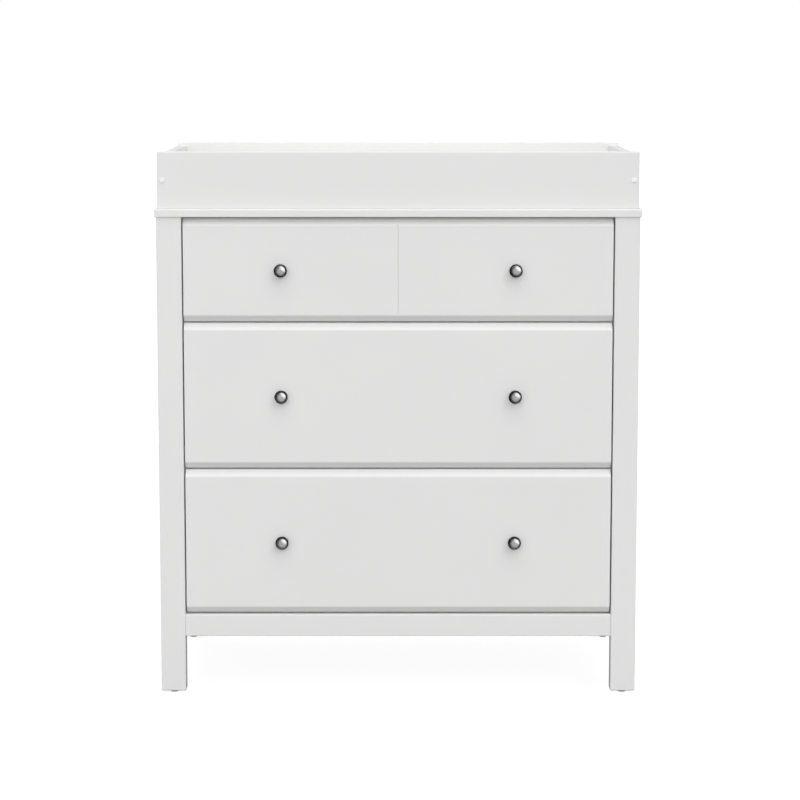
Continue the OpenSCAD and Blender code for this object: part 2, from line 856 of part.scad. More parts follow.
module tray_straps() {
    color(ZINC) in_frame() right_and_left() difference() {
        translate([strap_x - strap_w / 2, case_d, strap_z]) bar_y(0, strap_t)
            eased_rect(strap_w, strap_h, [4, 4, 4, 4]);
        at_strap_screws() translate([0, 0, -1]) cylinder(r = screw_r + 2 * fit, h = strap_t + 2);
    }
}

module at_bracket_screws() {
    for (x = [-12, 12]) {
        translate([x, rear_rail_y + rear_rail_t, bracket_z + 16]) rotate([-90, 0, 0]) children();
    }
}

module anti_tip_bracket() {
    color(ZINC) in_frame() difference() {
        union() {
            translate([-bracket_w / 2, rear_rail_y + rear_rail_t, bracket_z])
                cube([bracket_w, bracket_t, bracket_h]);
            translate([-bracket_w / 2, rear_rail_y + rear_rail_t, bracket_z])
                cube([bracket_w, bracket_out, bracket_t]);
        }
        at_bracket_screws() translate([0, 0, -1]) cylinder(r = screw_r + 2 * fit, h = bracket_t + 2);
        translate([0, rear_rail_y + rear_rail_t + 7.5, bracket_z - 1]) cylinder(r = tether_r, h = bracket_t + 2);
    }
}

module case_screws() {
    color(ZINC) in_frame() {
        at_top_screws() wood_screw(top_screw_l);
        at_bracket_screws() translate([0, 0, bracket_t]) wood_screw(bracket_screw_l);
        right_and_left() {
            at_strap_screws() translate([0, 0, strap_t]) wood_screw(strap_screw_l);
            for (i = [LOWER : UPPER]) {
                at_slide_screws(i) wood_screw(slide_screw_l);
            }
        }
    }
}

// ---- The assembly ----

left_front_leg();
right_front_leg();
left_rear_leg();
right_rear_leg();
left_side_panel();
right_side_panel();
top_panel();
back_panel();
front_top_rail();
front_bottom_rail();
front_stretcher();
upper_divider_rail();
lower_divider_rail();
rear_top_rail();
rear_bottom_rail();
slide_cleats();
left_case_slides();
right_case_slides();
leg_glides();
cam_bolts();
cam_nuts();
case_screws();
tray_front_board();
tray_rear_board();
tray_left_board();
tray_right_board();
tray_fasteners();
tray_bolt_caps();
tray_straps();
anti_tip_bracket();
lower_drawer_front();
lower_drawer_left_side();
lower_drawer_right_side();
lower_drawer_back();
lower_drawer_bottom();
lower_drawer_knobs();
lower_drawer_slides();
lower_drawer_fasteners();
middle_drawer_front();
middle_drawer_left_side();
middle_drawer_right_side();
middle_drawer_back();
middle_drawer_bottom();
middle_drawer_knobs();
middle_drawer_slides();
middle_drawer_fasteners();
upper_drawer_front();
upper_drawer_left_side();
upper_drawer_right_side();
upper_drawer_back();
upper_drawer_bottom();
upper_drawer_knobs();
upper_drawer_slides();
upper_drawer_fasteners();
lower_case_rollers();
lower_drawer_rollers();
middle_case_rollers();
middle_drawer_rollers();
upper_case_rollers();
upper_drawer_rollers();
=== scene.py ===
"""The looks of the changing table: a white dresser with three drawers and a tray on its top.

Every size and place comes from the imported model.
Lengths are in metres, the front faces -Y, and MM is one millimetre.
"""

import math

import bmesh
import bpy
from mathutils import Matrix, Vector

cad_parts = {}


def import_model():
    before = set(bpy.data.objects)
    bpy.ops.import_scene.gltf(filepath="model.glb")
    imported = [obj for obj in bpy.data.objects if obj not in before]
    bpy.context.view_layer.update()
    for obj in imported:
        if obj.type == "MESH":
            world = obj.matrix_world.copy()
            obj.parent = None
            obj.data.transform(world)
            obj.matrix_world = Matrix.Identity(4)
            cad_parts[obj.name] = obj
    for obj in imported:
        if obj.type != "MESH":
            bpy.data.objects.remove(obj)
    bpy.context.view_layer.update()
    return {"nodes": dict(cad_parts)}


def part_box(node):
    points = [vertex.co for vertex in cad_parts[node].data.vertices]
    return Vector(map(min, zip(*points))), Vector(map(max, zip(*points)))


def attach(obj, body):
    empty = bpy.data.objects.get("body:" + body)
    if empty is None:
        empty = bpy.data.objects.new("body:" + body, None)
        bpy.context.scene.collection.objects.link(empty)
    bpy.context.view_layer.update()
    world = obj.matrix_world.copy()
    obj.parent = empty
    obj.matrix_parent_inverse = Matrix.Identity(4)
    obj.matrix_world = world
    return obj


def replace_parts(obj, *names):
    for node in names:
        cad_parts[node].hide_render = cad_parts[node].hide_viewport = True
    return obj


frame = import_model()

MM = 0.001
DRAWERS = ("lower", "middle", "upper")
SIDES = ("left", "right")
X, Y, Z = 0, 1, 2


# ---- Materials ----


class Finish:
    """A material under construction: its Principled shader and short calls that add nodes round it."""

    def __init__(self, name, colour, roughness, metallic=0.0):
        self.material = bpy.data.materials.new(name)
        self.material.use_nodes = True
        self.nodes = self.material.node_tree.nodes
        self.links = self.material.node_tree.links
        self.shader = self.nodes["Principled BSDF"]
        self.shader.inputs["Base Color"].default_value = (*colour, 1)
        self.shader.inputs["Roughness"].default_value = roughness
        self.shader.inputs["Metallic"].default_value = metallic
        self.place = self.nodes.new("ShaderNodeTexCoord").outputs["Object"]

    def noise(self, size, detail=3, stretch=(1, 1, 1)):
        """Noise whose cells are about size across, drawn out along an axis by stretch."""
        mapping = self.nodes.new("ShaderNodeMapping")
        mapping.inputs["Scale"].default_value = [1 / (size * s) for s in stretch]
        texture = self.nodes.new("ShaderNodeTexNoise")
        texture.inputs["Scale"].default_value = 1
        texture.inputs["Detail"].default_value = detail
        self.links.new(self.place, mapping.inputs["Vector"])
        self.links.new(mapping.outputs["Vector"], texture.inputs["Vector"])
        return texture.outputs["Fac"]

    def spread(self, value, low, high, start=0.3, end=0.7):
        """Maps value, which mostly lies between start and end, to low..high."""
        node = self.nodes.new("ShaderNodeMapRange")
        node.inputs["From Min"].default_value = start
        node.inputs["From Max"].default_value = end
        node.inputs["To Min"].default_value = low
        node.inputs["To Max"].default_value = high
        self.links.new(value, node.inputs["Value"])
        return node.outputs["Result"]

    def mix(self, factor, first, second):
        """Blends two colours, each a tuple or a socket."""
        node = self.nodes.new("ShaderNodeMix")
        node.data_type = "RGBA"
        self.links.new(factor, node.inputs["Factor"])
        for socket, colour in ((node.inputs[6], first), (node.inputs[7], second)):
            if isinstance(colour, tuple):
                socket.default_value = (*colour, 1)
            else:
                self.links.new(colour, socket)
        return node.outputs[2]

    def product(self, first, second):
        node = self.nodes.new("ShaderNodeMath")
        node.operation = "MULTIPLY"
        self.links.new(first, node.inputs[0])
        self.links.new(second, node.inputs[1])
        return node.outputs[0]

    def edges(self, width):
        """About 1 on edges rounded tighter than width, 0 on flat stretches."""
        bevel = self.nodes.new("ShaderNodeBevel")
        bevel.samples = 4
        bevel.inputs["Radius"].default_value = width
        flat = self.nodes.new("ShaderNodeNewGeometry")
        dot = self.nodes.new("ShaderNodeVectorMath")
        dot.operation = "DOT_PRODUCT"
        self.links.new(bevel.outputs["Normal"], dot.inputs[0])
        self.links.new(flat.outputs["Normal"], dot.inputs[1])
        return self.spread(dot.outputs["Value"], 1, 0, start=0.93, end=0.995)

    def colour(self, value):
        self.links.new(value, self.shader.inputs["Base Color"])

    def roughness(self, value):
        self.links.new(value, self.shader.inputs["Roughness"])

    def bump(self, *layers):
        """Stacks bump layers, each (height, distance in metres, strength)."""
        last = None
        for height, distance, strength in layers:
            node = self.nodes.new("ShaderNodeBump")
            node.inputs["Distance"].default_value = distance
            node.inputs["Strength"].default_value = strength
            self.links.new(height, node.inputs["Height"])
            if last is not None:
                self.links.new(last, node.inputs["Normal"])
            last = node.outputs["Normal"]
        self.links.new(last, self.shader.inputs["Normal"])


def white_paint():
    """Sprayed satin paint: orange peel, faint clouds, and a painted highlight: lighter colour along the
    rounded edges.
    """
    paint = Finish("white_paint", (0.80, 0.80, 0.797), 0.42)
    clouds = paint.noise(0.30, detail=2)
    peel = paint.noise(2.6 * MM, detail=1)
    stipple = paint.noise(0.7 * MM, detail=2)
    # Painted highlight: the paint's colour turns lighter on rounded edges, in place of the light that they
    # catch.
    edge_wear_and_highlight = paint.edges(1.6 * MM)
    body = paint.mix(paint.spread(clouds, 0, 1), (0.790, 0.790, 0.787), (0.808, 0.808, 0.804))
    paint.colour(paint.mix(edge_wear_and_highlight, body, (0.835, 0.834, 0.825)))
    paint.roughness(paint.spread(paint.noise(0.05), 0.37, 0.47))
    paint.bump((peel, 0.05 * MM, 0.35), (stipple, 0.02 * MM, 0.25))
    return paint.material


def drawer_laminate():
    """Matt printed paper on the drawer boxes, with a fine linen texture."""
    paper = Finish("drawer_laminate", (0.78, 0.775, 0.76), 0.55)
    fibres = paper.noise(1.4 * MM, detail=4, stretch=(1, 9, 1))
    clouds = paper.noise(0.12, detail=2)
    paper.colour(paper.mix(paper.product(fibres, clouds), (0.80, 0.797, 0.785), (0.735, 0.73, 0.712)))
    paper.roughness(paper.spread(fibres, 0.48, 0.62))
    paper.bump((fibres, 0.03 * MM, 0.3), (paper.noise(0.5 * MM, detail=1), 0.02 * MM, 0.3))
    return paper.material


def hardboard():
    """Wet-process hardboard: lacquered white towards the drawers, brown with a screen print behind."""
    board = Finish("hardboard", (0.42, 0.28, 0.17), 0.75)
    facing = board.nodes.new("ShaderNodeTexCoord").outputs["Normal"]
    split = board.nodes.new("ShaderNodeSeparateXYZ")
    board.links.new(facing, split.inputs["Vector"])
    front = board.spread(split.outputs["Y"], 1, 0, start=-0.6, end=-0.4)
    fibres = board.noise(3.0 * MM, detail=6, stretch=(3, 1, 1))
    screen = board.noise(1.1 * MM, detail=0)
    brown = board.mix(board.spread(fibres, 0, 1), (0.37, 0.235, 0.135), (0.50, 0.345, 0.215))
    brown = board.mix(board.spread(board.noise(0.18), 0, 0.35), brown, (0.33, 0.21, 0.125))
    board.colour(board.mix(front, brown, (0.78, 0.775, 0.76)))
    board.roughness(board.spread(front, 0.78, 0.45, start=0, end=1))
    board.bump((fibres, 0.10 * MM, 0.4), (screen, 0.12 * MM, 0.5))
    return board.material


def bare_wood():
    """Planed poplar with its grain along Y."""
    wood = Finish("bare_wood", (0.62, 0.47, 0.29), 0.62)
    grain = wood.noise(2.2 * MM, detail=5, stretch=(1, 40, 1))
    bands = wood.noise(9 * MM, detail=2, stretch=(1, 25, 1))
    tone = wood.mix(wood.spread(bands, 0, 1), (0.66, 0.51, 0.32), (0.55, 0.40, 0.235))
    wood.colour(wood.mix(wood.spread(grain, 0, 0.5), tone, (0.45, 0.31, 0.17)))
    wood.roughness(wood.spread(grain, 0.55, 0.72))
    wood.bump((grain, 0.08 * MM, 0.4))
    return wood.material


def satin_nickel():
    """Plated and satin-brushed nickel: fine rubbed lines and duller patches."""
    metal = Finish("satin_nickel", (0.60, 0.60, 0.60), 0.26, metallic=1.0)
    brushed = metal.noise(0.35 * MM, detail=3, stretch=(7, 1, 1))
    patches = metal.noise(6 * MM, detail=3)
    metal.colour(metal.mix(metal.spread(patches, 0, 1), (0.56, 0.56, 0.565), (0.64, 0.64, 0.635)))
    metal.roughness(metal.spread(patches, 0.22, 0.31))
    metal.bump((brushed, 0.008 * MM, 0.35), (metal.noise(0.2 * MM, detail=1), 0.004 * MM, 0.3))
    return metal.material


def zinc_steel():
    """Bright zinc plate with cloudy passivation and rubbed edges."""
    metal = Finish("zinc_steel", (0.70, 0.72, 0.75), 0.36, metallic=1.0)
    clouds = metal.noise(4 * MM, detail=4)
    edge_wear_and_highlight = metal.edges(0.5 * MM)
    tone = metal.mix(metal.spread(clouds, 0, 1), (0.62, 0.65, 0.70), (0.76, 0.75, 0.71))
    metal.colour(metal.mix(edge_wear_and_highlight, tone, (0.80, 0.80, 0.80)))
    metal.roughness(metal.spread(clouds, 0.28, 0.46))
    metal.bump((metal.noise(0.4 * MM, detail=2), 0.01 * MM, 0.4))
    return metal.material


def coated_steel():
    """White epoxy on the slides, with orange peel and rub marks along the travel."""
    coat = Finish("coated_steel", (0.78, 0.78, 0.772), 0.34)
    rubbed = coat.noise(1.6 * MM, detail=4, stretch=(1, 60, 1))
    edge_wear_and_highlight = coat.edges(0.5 * MM)
    tone = coat.mix(coat.spread(rubbed, 0, 0.5), (0.79, 0.79, 0.782), (0.70, 0.70, 0.695))
    coat.colour(coat.mix(edge_wear_and_highlight, tone, (0.66, 0.66, 0.66)))
    coat.roughness(coat.spread(rubbed, 0.28, 0.44))
    coat.bump((coat.noise(1.8 * MM, detail=1), 0.03 * MM, 0.35))
    return coat.material


def moulded(name, colour, roughness, grain):
    """Moulded plastic with a fine grain and faint flow marks."""
    plastic = Finish(name, colour, roughness)
    flow = plastic.noise(5 * MM, detail=2, stretch=(1, 1, 3))
    darker = tuple(c * 0.93 for c in colour)
    plastic.colour(plastic.mix(plastic.spread(flow, 0, 1), colour, darker))
    plastic.roughness(plastic.spread(flow, roughness - 0.05, roughness + 0.08))
    plastic.bump((plastic.noise(grain, detail=2), 0.02 * MM, 0.35))
    return plastic.material


def roller_nylon():
    material = moulded("roller_nylon", (0.74, 0.74, 0.72), 0.42, 0.5 * MM)
    shader = material.node_tree.nodes["Principled BSDF"]
    shader.inputs["Subsurface Weight"].default_value = 0.15
    shader.inputs["Subsurface Radius"].default_value = (2 * MM, 2 * MM, 2 * MM)
    shader.inputs["Subsurface Scale"].default_value = 1
    return material


FINISHES = {
    "white_paint": white_paint(),
    "drawer_box": drawer_laminate(),
    "back_board": hardboard(),
    "bare_wood": bare_wood(),
    "satin_nickel": satin_nickel(),
    "zinc_steel": zinc_steel(),
    "coated_steel": coated_steel(),
    "roller_nylon": roller_nylon(),
    "glide_plastic": moulded("glide_plastic", (0.60, 0.60, 0.59), 0.50, 0.6 * MM),
    "cap_plastic": moulded("cap_plastic", (0.93, 0.93, 0.925), 0.30, 0.8 * MM),
}


# ---- Shapes ----

ARC_STEPS = 6
EASE_STEPS = 4
SHARP = math.radians(35)


def inwards(corner, before, after, distance):
    """The point inside a convex corner at that distance from both of its edges."""
    a = (before - corner).normalized()
    b = (after - corner).normalized()
    return corner + (a + b).normalized() * distance / math.sin(a.angle(b) / 2)


def rounded(corners, radii, inset=0.0):
    """A convex outline moved inwards by inset, with every corner an arc of what is left of its radius."""
    n = len(corners)
    shrunk = [inwards(corners[i], corners[i - 1], corners[(i + 1) % n], inset) for i in range(n)]
    points = []
    for i in range(n):
        corner, before, after = shrunk[i], shrunk[i - 1], shrunk[(i + 1) % n]
        radius = max(radii[i] - inset, 0)
        if radius == 0:
            points += [corner] * (ARC_STEPS + 1)
            continue
        centre = inwards(corner, before, after, radius)
        first = (centre - corner).project(before - corner) + corner - centre
        last = (centre - corner).project(after - corner) + corner - centre
        points += [centre + radius * first.slerp(last, k / ARC_STEPS) for k in range(ARC_STEPS + 1)]
    return points


def ring(mesh, axis, along, outline):
    """Vertices of an outline that lies across axis; the outline's pairs are the other two axes in order."""
    made = []
    for u, v in outline:
        place = [u, v]
        place.insert(axis, along)
        made.append(mesh.verts.new(place))
    return made


def skin(mesh, rings, closed=False):
    """Quads between each ring and the next; caps on the first and last, or a join between them if closed."""
    pairs = list(zip(rings, rings[1:]))
    if closed:
        pairs.append((rings[-1], rings[0]))
    else:
        mesh.faces.new(rings[0])
        mesh.faces.new(rings[-1])
    for one, two in pairs:
        for i in range(len(one)):
            mesh.faces.new((one[i - 1], one[i], two[i], two[i - 1]))


def tidy(mesh):
    """Welds what coincides, drops what that flattened, and turns every face outwards."""
    bmesh.ops.remove_doubles(mesh, verts=mesh.verts, dist=1e-7)
    bmesh.ops.dissolve_degenerate(mesh, edges=mesh.edges, dist=1e-8)
    bmesh.ops.recalc_face_normals(mesh, faces=mesh.faces)


def eased_bar(mesh, axis, corners, radii, ends, eases):
    """A bar along axis with the rounded outline of corners, its two ends eased by the radii in eases."""
    rings = []
    for k in range(EASE_STEPS + 1):
        turn = k / EASE_STEPS * math.pi / 2
        outline = rounded(corners, radii, eases[0] * (1 - math.sin(turn)))
        rings.append(ring(mesh, axis, ends[0] + eases[0] * (1 - math.cos(turn)), outline))
    for k in reversed(range(EASE_STEPS + 1)):
        turn = k / EASE_STEPS * math.pi / 2
        outline = rounded(corners, radii, eases[1] * (1 - math.sin(turn)))
        rings.append(ring(mesh, axis, ends[1] - eases[1] * (1 - math.cos(turn)), outline))
    skin(mesh, rings)


def new_piece(name, mesh, body, slot):
    """Turns a bmesh into a smooth-shaded piece that rides on body."""
    tidy(mesh)
    for face in mesh.faces:
        face.smooth = True
    for edge in mesh.edges:
        edge.smooth = edge.calc_face_angle(0) < SHARP
    data = bpy.data.meshes.new(name)
    mesh.to_mesh(data)
    mesh.free()
    piece = bpy.data.objects.new(name, data)
    bpy.context.scene.collection.objects.link(piece)
    data.materials.append(FINISHES[slot])
    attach(piece, body)
    return piece


def islands(node):
    """The separate solids of a CAD node, each a list of its points."""
    mesh = bmesh.new()
    mesh.from_mesh(frame["nodes"][node].data)
    bmesh.ops.remove_doubles(mesh, verts=mesh.verts, dist=1e-6)
    left = set(mesh.verts)
    found = []
    while left:
        edge = [left.pop()]
        points = []
        while edge:
            vert = edge.pop()
            points.append(vert.co.copy())
            near = {e.other_vert(vert) for e in vert.link_edges} & left
            left -= near
            edge += near
        found.append(points)
    mesh.free()
    return sorted(found, key=lambda points: tuple(extent(points)[0]))


def extent(points):
    low = Vector([min(p[i] for p in points) for i in range(3)])
    high = Vector([max(p[i] for p in points) for i in range(3)])
    return low, high


FITTED = {}


def fitted_into(body):
    """The solids that boards of this body are drilled or grooved for."""
    if body not in FITTED:
        if body == "case":
            nodes = ["cam_bolts", "cam_nuts", "case_screws", "tray_fasteners", "tray_bolt_caps",
                     "leg_glides", "back_panel"]
        else:
            nodes = [body + "_fasteners", body + "_bottom"]
        FITTED[body] = [(node, points) for node in nodes for points in islands(node)]
    return FITTED[body]


POCKET_GAP = 0.1 * MM


def pockets(own_node, body, low, high):
    """A mesh of the solids that reach into a board, each a little larger than life, or None."""
    cutters = bmesh.new()
    for node, points in fitted_into(body):
        first, last = extent(points)
        shared = [min(last[i], high[i]) - max(first[i], low[i]) for i in range(3)]
        if node == own_node or min(shared) < 3 * POCKET_GAP:
            continue
        middle = (first + last) / 2
        size = last - first
        grown = Matrix.Diagonal([(s + 2 * POCKET_GAP) / s for s in size])
        corners = [cutters.verts.new(middle + grown @ (p - middle)) for p in points]
        hull = bmesh.ops.convex_hull(cutters, input=corners)
        spare = [v for v in hull["geom_interior"] + hull["geom_unused"] if isinstance(v, bmesh.types.BMVert)]
        bmesh.ops.delete(cutters, geom=list(set(spare)), context="VERTS")
    if not cutters.verts:
        cutters.free()
        return None
    return cutters


def cut(piece, cutters):
    """Takes the solids in a bmesh away from a piece."""
    data = bpy.data.meshes.new("cutters")
    bmesh.ops.recalc_face_normals(cutters, faces=cutters.faces)
    cutters.to_mesh(data)
    cutters.free()
    tool = bpy.data.objects.new("cutters", data)
    bpy.context.scene.collection.objects.link(tool)
    difference = piece.modifiers.new("pockets", "BOOLEAN")
    difference.operation = "DIFFERENCE"
    difference.solver = "EXACT"
    difference.use_self = True
    difference.object = tool
    shape = bpy.data.meshes.new_from_object(piece.evaluated_get(bpy.context.evaluated_depsgraph_get()))
    piece.modifiers.clear()
    piece.data = shape
    bpy.data.objects.remove(tool)
    mesh = bmesh.new()
    mesh.from_mesh(shape)
    tidy(mesh)
    for edge in mesh.edges:
        edge.smooth = edge.calc_face_angle(0) < SHARP
    mesh.to_mesh(shape)
    mesh.free()


def even_light(piece):
    """Normals weighted by face size, so that flat faces stay flat beside their rounded edges."""
    normals = piece.modifiers.new("even_light", "WEIGHTED_NORMAL")
    normals.keep_sharp = True
    normals.weight = 100
    return piece


# ---- Boards ----


def box_corners(low, high, axis):
    """The four corners of a box's outline across axis."""
    (u0, v0), (u1, v1) = [[p[i] for i in range(3) if i != axis] for p in (low, high)]
    return [Vector((u0, v0)), Vector((u1, v0)), Vector((u1, v1)), Vector((u0, v1))]


def board(node, body, slot, axis, radii, eases, profile=None, groove=None):
    """A board in the place of a CAD node: one bar for each of its solids, drilled for what fits into it.
    radii and eases are in millimetres; profile gives the outline's corners if it is not a rectangle."""
    mesh = bmesh.new()
    radii = [r * MM for r in radii]
    eases = [e * MM for e in eases]
    for points in islands(node):
        low, high = extent(points)
        corners = profile(low, high) if profile else box_corners(low, high, axis)
        eased_bar(mesh, axis, corners, radii, (low[axis], high[axis]), eases)
    low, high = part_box(node)
    cutters = pockets(node, body, low, high)
    piece = new_piece(node + "_shape", mesh, body, slot)
    if groove:
        cut(piece, groove(low, high))
    if cutters:
        cut(piece, cutters)
    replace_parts(piece, node)
    return even_light(piece)


FRONT_BEVEL = 12 * MM


def front_profile(low, high):
    """A drawer front's section in Y and Z, bevelled along its upper and lower front edges."""
    return [Vector((low.y + FRONT_BEVEL, low.z)), Vector((high.y, low.z)), Vector((high.y, high.z)),
            Vector((low.y + FRONT_BEVEL, high.z)), Vector((low.y, high.z - FRONT_BEVEL)),
            Vector((low.y, low.z + FRONT_BEVEL))]


FRONT_RADII = (2, 1, 1, 2, 6, 6)
VEE_HALF = 1.8 * MM


def vee_groove(low, high):
    """The upright groove that makes the wide top front read as two."""
    mesh = bmesh.new()
    outline = [Vector((-2 * VEE_HALF, low.y - VEE_HALF)), Vector((2 * VEE_HALF, low.y - VEE_HALF)),
               Vector((0, low.y + VEE_HALF))]
    skin(mesh, [ring(mesh, Z, z, outline) for z in (low.z - MM, high.z + MM)])
    return mesh


def case_boards():
    for side in SIDES:
        for end in ("front", "rear"):
            board(f"{side}_{end}_leg", "case", "white_paint", Z, (2, 2, 2, 2), (2.5, 0.3))
        board(f"{side}_side_panel", "case", "white_paint", Z, (0.5, 0.5, 0.5, 0.5), (1, 0.3))
        board(f"tray_{side}_board", "case", "white_paint", Y, (0.4, 0.4, 2, 2), (0.3, 0.3))
    board("top_panel", "case", "white_paint", X, (1.5, 1.5, 2.5, 2.5), (2, 2))
    board("tray_front_board", "case", "white_paint", X, (1.5, 1.5, 2, 2), (1.5, 1.5))
    board("tray_rear_board", "case", "white_paint", X, (1.5, 1.5, 2, 2), (1.5, 1.5))
    board("front_bottom_rail", "case", "white_paint", X, (1.5, 1, 1, 2.5), (0.3, 0.3))
    for rail in ("front_top_rail", "upper_divider_rail", "lower_divider_rail", "front_stretcher",
                 "rear_top_rail", "rear_bottom_rail"):
        board(rail, "case", "white_paint", X, (0.8, 0.8, 0.8, 0.8), (0.3, 0.3))
    board("back_panel", "case", "back_board", X, (0.3, 0.3, 0.3, 0.3), (0.3, 0.3))
    board("slide_cleats", "case", "bare_wood", Y, (0.8, 0.8, 0.8, 0.8), (0.5, 0.5))


def drawer_boards(drawer):
    body = drawer + "_drawer"
    groove = vee_groove if drawer == "upper" else None
    front = board(body + "_front", body, "white_paint", X, FRONT_RADII, (1, 1), front_profile, groove)
    # The knobs mirror the sky's panels, not the white front close behind them.
    front.visible_glossy = False
    for side in SIDES:
        board(f"{body}_{side}_side", body, "drawer_box", Y, (0.4, 0.4, 2, 2), (0.3, 0.3))
    board(body + "_back", body, "drawer_box", X, (0.4, 0.4, 2, 2), (0.3, 0.3))
    board(body + "_bottom", body, "drawer_box", X, (0.2, 0.2, 0.2, 0.2), (0.2, 0.2))


# ---- Turned and moulded pieces ----

TURNED_STEPS = 96


def arc(centre, radius, start, end, steps):
    """Points on an arc in the plane of radius and height, with angles in degrees from the radius axis."""
    turns = [math.radians(start + (end - start) * k / steps) for k in range(steps + 1)]
    return [(centre[0] + radius * math.cos(t), centre[1] + radius * math.sin(t)) for t in turns]


def turned(mesh, outline, origin, axis, sense=1, closed=False):
    """Turns an outline of (radius, height) about a line along axis through origin."""
    rings = []
    others = [i for i in range(3) if i != axis]
    for k in range(TURNED_STEPS):
        angle = 2 * math.pi * k / TURNED_STEPS
        made = []
        for radius, height in outline:
            place = Vector(origin)
            place[axis] += sense * height
            place[others[0]] += radius * math.cos(angle)
            place[others[1]] += radius * math.sin(angle)
            made.append(mesh.verts.new(place))
        rings.append(made)
    for one, two in zip(rings, rings[1:] + rings[:1]):
        for i in range(0 if closed else 1, len(outline)):
            mesh.faces.new((one[i - 1], one[i], two[i], two[i - 1]))


def knob_outline(size, reach):
    """A ball knob's section: an eased foot, a waisted neck and a ball with its back turned off."""
    ball = size / 2
    centre = reach - ball
    foot_r, neck_r, head = 7 * MM, 4.8 * MM, 5.5 * MM
    rim = math.degrees(math.asin((head + 1.0 * MM - centre) / ball))
    outline = [(0, 0), (foot_r, 0)]
    outline += arc((foot_r - 0.8 * MM, 1.2 * MM), 0.8 * MM, 0, 90, 5)
    outline += arc((neck_r + 1.2 * MM, 3.2 * MM), 1.2 * MM, 270, 90 + 60, 8)
    outline += [(neck_r + 2.6 * MM, head - 0.3 * MM)]
    outline += arc((ball * math.cos(math.radians(rim)) - 0.9 * MM, head + 0.9 * MM), 0.9 * MM, -90, rim, 6)
    outline += arc((0, centre), ball, rim + 2, 90, 36)
    return outline


def knobs(drawer):
    node = drawer + "_drawer_knobs"
    mesh = bmesh.new()
    for points in islands(node):
        low, high = extent(points)
        origin = Vector(((low.x + high.x) / 2, high.y, (low.z + high.z) / 2))
        turned(mesh, knob_outline(high.x - low.x, high.y - low.y), origin, Y, sense=-1)
    piece = new_piece(node + "_turned", mesh, drawer + "_drawer", "satin_nickel")
    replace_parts(piece, node)


def glides():
    """Nail-on glides: a disc with an eased lower edge and a shallow dish round its nail's head."""
    mesh = bmesh.new()
    for points in islands("leg_glides"):
        low, high = extent(points)
        r = (high.x - low.x) / 2
        body_h = 4 * MM
        outline = [(0, 0.7 * MM), (2.6 * MM, 0.7 * MM), (3.2 * MM, 0)]
        outline += arc((r - 0.9 * MM, 0.9 * MM), 0.9 * MM, -90, 0, 6)
        outline += arc((r - 0.5 * MM, body_h - 0.5 * MM), 0.5 * MM, 0, 90, 3)
        outline += [(1.2 * MM, body_h), (1.2 * MM, high.z - low.z - 2 * MM), (0, high.z - low.z)]
        turned(mesh, outline, Vector(((low.x + high.x) / 2, (low.y + high.y) / 2, low.z)), Z)
    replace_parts(new_piece("leg_glides_turned", mesh, "case", "glide_plastic"), "leg_glides")


CAP_STEPS = 12
CAP_FULLNESS = 0.75


def bolt_caps():
    """Push-in caps over a short stem: a low button, an ellipse in section if CAP_FULLNESS is 1,
    and steeper at its sides the lower it is."""
    mesh = bmesh.new()
    middle_y = sum(p.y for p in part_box("top_panel")) / 2
    for points in islands("tray_bolt_caps"):
        low, high = extent(points)
        rear = low.y > middle_y
        r = (high.x - low.x) / 2
        stem = 3 * MM
        dome = high.y - low.y - stem
        origin = (low + high) / 2
        origin.y = high.y - dome if rear else low.y + dome
        outline = [(0, -stem), (r - 1.1 * MM, -stem), (r - 0.7 * MM, -stem + 0.4 * MM), (r - 0.7 * MM, 0)]
        for step in range(CAP_STEPS + 1):
            turn = math.pi / 2 * step / CAP_STEPS
            outline.append((r * abs(math.cos(turn)) ** CAP_FULLNESS, dome * math.sin(turn) ** CAP_FULLNESS))
        turned(mesh, outline, origin, Y, sense=1 if rear else -1)
    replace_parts(new_piece("tray_bolt_caps_turned", mesh, "case", "cap_plastic"), "tray_bolt_caps")


def roller_outline(r, w, bore):
    """A roller's section: a crowned tyre with rolled shoulders, a dished web and a hub with a bore."""
    hub, web, dish, ease = bore + 2 * MM, r - 2.5 * MM, 1.2 * MM, 0.7 * MM
    outline = [(bore, 0.2 * MM), (bore + 0.2 * MM, 0), (hub, 0), (hub + 0.2 * MM, dish), (web, dish)]
    outline += [(web + 0.2 * MM, 0)]
    outline += arc((r - ease, ease), ease, -90, 0, 5)
    outline += arc((r - ease, w - ease), ease, 0, 90, 5)
    outline += [(web + 0.2 * MM, w), (web, w - dish), (hub + 0.2 * MM, w - dish), (hub, w)]
    outline += [(bore + 0.2 * MM, w), (bore, w - 0.2 * MM)]
    return outline


ROLLER_BORE = 2.55 * MM


def rollers(drawer, member):
    node = f"{drawer}_{member}_rollers"
    mesh = bmesh.new()
    for points in islands(node):
        low, high = extent(points)
        outline = roller_outline((high.z - low.z) / 2, high.x - low.x, ROLLER_BORE)
        turned(mesh, outline, Vector((low.x, (low.y + high.y) / 2, (low.z + high.z) / 2)), X, closed=True)
    piece = new_piece(node + "_turned", mesh, f"{drawer}_{member}_roller_pair", "roller_nylon")
    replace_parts(piece, node)


# ---- Metal pieces that keep their CAD shape ----


def dress(node, slot, ease):
    """Gives a CAD node its finish and eases its sharp edges by ease millimetres."""
    piece = frame["nodes"][node]
    piece.data.materials.clear()
    piece.data.materials.append(FINISHES[slot])
    weld = piece.modifiers.new("weld", "WELD")
    weld.merge_threshold = 1e-6
    flat = piece.modifiers.new("flat", "DECIMATE")
    flat.decimate_type = "DISSOLVE"
    flat.angle_limit = math.radians(0.3)
    bevel = piece.modifiers.new("ease", "BEVEL")
    bevel.width = ease * MM
    bevel.segments = 2
    bevel.limit_method = "ANGLE"
    bevel.angle_limit = math.radians(40)
    even_light(piece)


